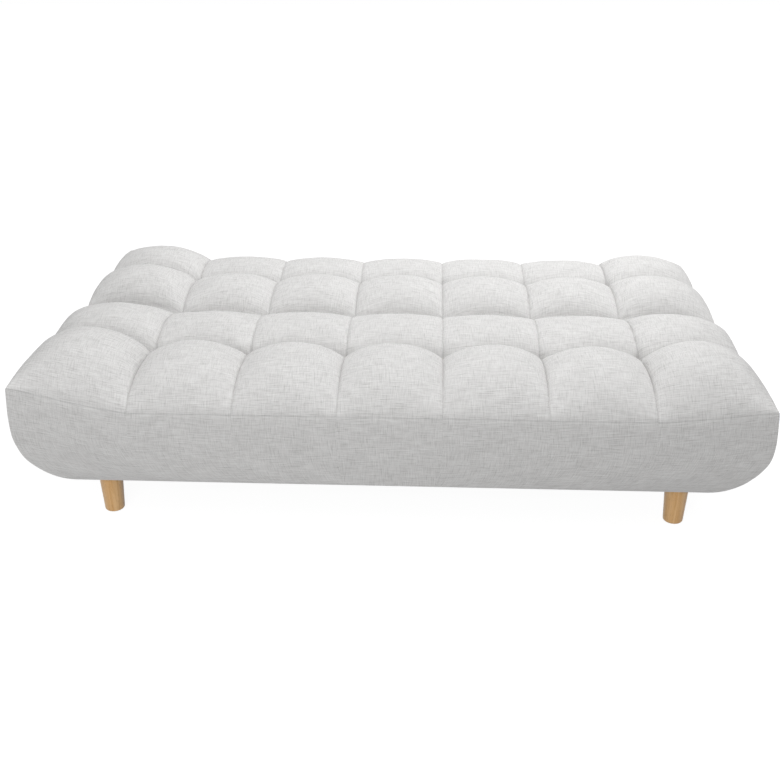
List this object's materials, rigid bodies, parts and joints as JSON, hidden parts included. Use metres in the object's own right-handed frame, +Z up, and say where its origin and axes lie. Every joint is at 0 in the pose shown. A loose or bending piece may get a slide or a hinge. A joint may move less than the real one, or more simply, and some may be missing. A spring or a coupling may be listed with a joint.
{
  "type": "sofa bed",
  "caption": "Tufted light grey sofa bed shown flat, with a backrest that folds up on ratchet hinges, on turned wooden legs.",
  "frame": {"origin": "on the floor, at the middle of the flat bed", "axes": "+X along the width to the right as seen from the front, -Y towards the front of the seat, +Z up"},
  "size_m": [1.775, 1.08, 0.4485],
  "materials": {
    "linen_fabric": "light warm grey linen look, matt",
    "foam": "open foam, matt",
    "dust_cloth": "black non-woven cloth",
    "thread": "waxed thread",
    "leg_wood": "clear satin lacquer",
    "frame_wood": "plain sawn",
    "black_steel": "black powder coat",
    "zinc_steel": "zinc plated",
    "spring_steel": "oiled",
    "rubber": "matt",
    "plastic": "matt black",
    "felt": "brown felt",
    "bronze": "sintered bronze"
  },
  "bodies": {
    "base": {"seat_cover": "linen_fabric", "seat_foam": "foam", "seat_end_foams": "foam", "seat_tuft_ties": "thread", "seat_front_rail": "frame_wood", "seat_rear_rail": "frame_wood", "seat_side_rails": "frame_wood", "seat_cross_rails": "frame_wood", "seat_corner_blocks": "frame_wood", "seat_springs": "spring_steel", "seat_spring_clips": "zinc_steel", "seat_dust_cover": "dust_cloth", "left_support_rail": "black_steel", "right_support_rail": "black_steel", "support_rail_caps": "plastic", "support_rail_bolts": "zinc_steel", "support_rail_nuts": "zinc_steel", "backrest_bumpers": "rubber", "leg_plates": "black_steel", "leg_bolts": "zinc_steel", "leg_plate_screws": "zinc_steel", "leg_pads": "felt", "front_left_leg": "leg_wood", "front_right_leg": "leg_wood", "rear_left_leg": "leg_wood", "rear_right_leg": "leg_wood", "left_seat_arm": "black_steel", "right_seat_arm": "black_steel", "left_ratchet_sector": "zinc_steel", "right_ratchet_sector": "zinc_steel", "sector_rivets": "zinc_steel", "seat_arm_screws": "zinc_steel", "pivot_bolts": "zinc_steel", "pivot_washers": "zinc_steel", "pivot_nuts": "zinc_steel"},
    "backrest": {"back_cover": "linen_fabric", "back_foam": "foam", "back_end_foams": "foam", "back_tuft_ties": "thread", "back_near_rail": "frame_wood", "back_far_rail": "frame_wood", "back_side_rails": "frame_wood", "back_cross_rails": "frame_wood", "back_rest_blocks": "frame_wood", "back_springs": "spring_steel", "back_spring_clips": "zinc_steel", "back_dust_cover": "dust_cloth", "left_back_arm": "black_steel", "right_back_arm": "black_steel", "back_arm_screws": "zinc_steel", "arm_bushes": "bronze", "pawl_pins": "zinc_steel", "pawl_stop_pins": "zinc_steel", "pawl_springs": "spring_steel", "spring_rivets": "zinc_steel"},
    "left_pawl": {"left_pawl": "zinc_steel"},
    "right_pawl": {"right_pawl": "zinc_steel"}
  },
  "joints": [
    {"name": "backrest_fold", "type": "hinge", "parent": "base", "child": "backrest", "pos_m": [0, 0.025, 0.306], "axis": [1, 0, 0], "range_deg": [0, 80]},
    {"name": "left_pawl_pivot", "type": "hinge", "parent": "backrest", "child": "left_pawl", "pos_m": [-0.7463, 0.11145, 0.27453], "axis": [1, 0, 0], "range_deg": [-8.5, 0]},
    {"name": "right_pawl_pivot", "type": "hinge", "parent": "backrest", "child": "right_pawl", "pos_m": [0.7463, 0.11145, 0.27453], "axis": [1, 0, 0], "range_deg": [-8.5, 0]}
  ]
}
